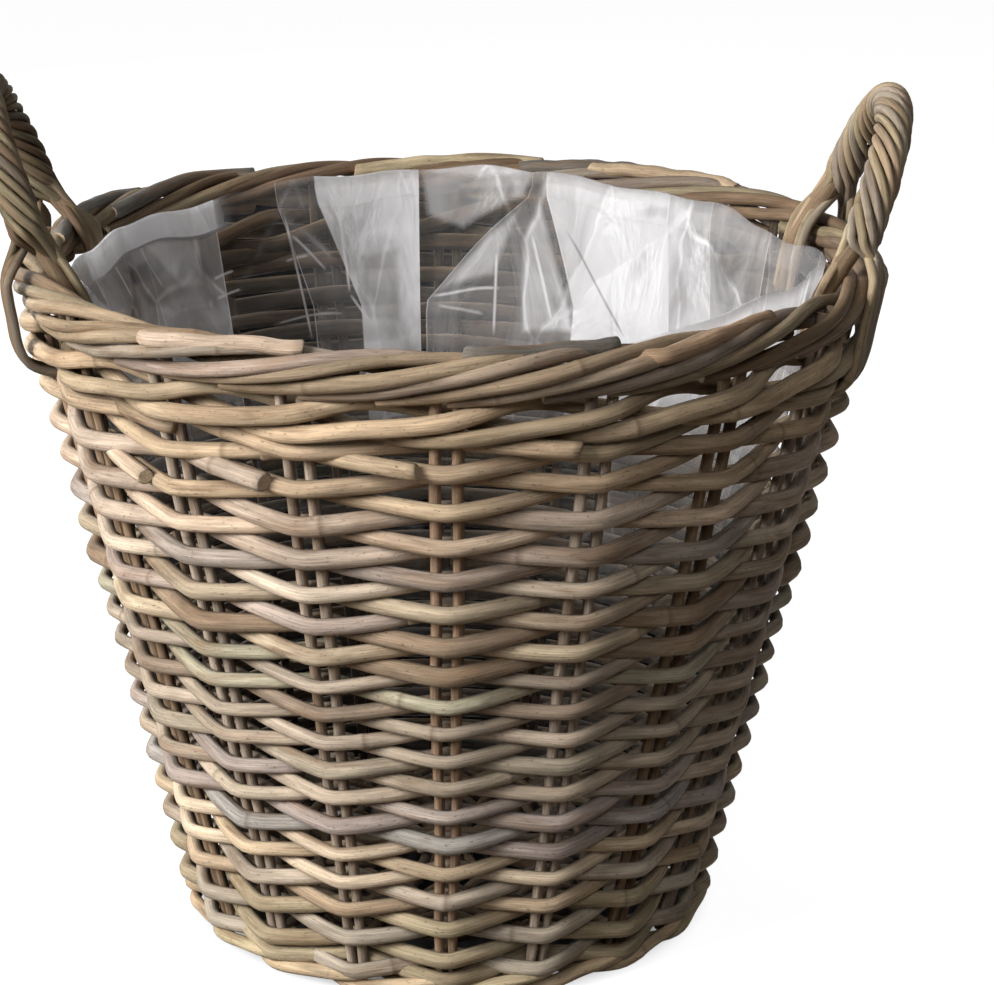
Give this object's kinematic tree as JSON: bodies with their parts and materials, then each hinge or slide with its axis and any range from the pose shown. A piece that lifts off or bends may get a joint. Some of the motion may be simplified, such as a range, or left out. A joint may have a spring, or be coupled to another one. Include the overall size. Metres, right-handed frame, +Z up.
{
  "type": "wicker log basket",
  "caption": "Round tapered rattan log basket, woven on paired stakes with a twisted rolled border, rope-twisted side loop handles and a clear film liner tucked inside.",
  "frame": {"origin": "middle of the foot, on the ground", "axes": "+Z up, +X through the right-hand handle, -Y is the side seen in the picture"},
  "size_m": [0.4734, 0.4444, 0.4491],
  "materials": {
    "stake": "dry bare rattan, dark brown",
    "weaver": "dry bare rattan, grey-brown, uneven",
    "wale": "dry bare rattan, tan",
    "border": "dry bare rattan, grey to tan",
    "base": "dry bare rattan, brown",
    "handle": "dry bare rattan, twisted, olive brown",
    "liner": "clear creased film"
  },
  "bodies": {
    "root": {"stake_pair_01": "stake", "stake_pair_02": "stake", "stake_pair_03": "stake", "stake_pair_04": "stake", "stake_pair_05": "stake", "stake_pair_06": "stake", "stake_pair_07": "stake", "stake_pair_08": "stake", "stake_pair_09": "stake", "stake_pair_10": "stake", "stake_pair_11": "stake", "stake_pair_12": "stake", "stake_pair_13": "stake", "stake_pair_14": "stake", "stake_pair_15": "stake", "stake_pair_16": "stake", "stake_pair_17": "stake", "stake_pair_18": "stake", "weaver_a1": "weaver", "weaver_a2": "weaver", "weaver_a3": "weaver", "weaver_a4": "weaver", "weaver_a5": "weaver", "weaver_b1": "weaver", "weaver_b2": "weaver", "weaver_b3": "weaver", "weaver_b4": "weaver", "weaver_b5": "weaver", "wale_rod_1": "wale", "wale_rod_2": "wale", "wale_rod_3": "wale", "foot_wale_rod_1": "wale", "foot_wale_rod_2": "wale", "foot_wale_rod_3": "wale", "border_rod_1": "border", "border_rod_2": "border", "border_rod_3": "border", "base_stick_long_1": "base", "base_stick_long_2": "base", "base_stick_long_3": "base", "base_stick_long_4": "base", "base_stick_long_5": "base", "base_stick_cross_1": "base", "base_stick_cross_2": "base", "base_stick_cross_3": "base", "base_stick_cross_4": "base", "base_weaver_1": "base", "base_weaver_2": "base", "handle_right_bow": "handle", "handle_left_bow": "handle", "handle_right_wrap_1": "handle", "handle_right_wrap_2": "handle", "handle_right_wrap_3": "handle", "handle_right_wrap_4": "handle", "handle_left_wrap_1": "handle", "handle_left_wrap_2": "handle", "handle_left_wrap_3": "handle", "handle_left_wrap_4": "handle", "liner_bag": "liner"}
  },
  "joints": []
}
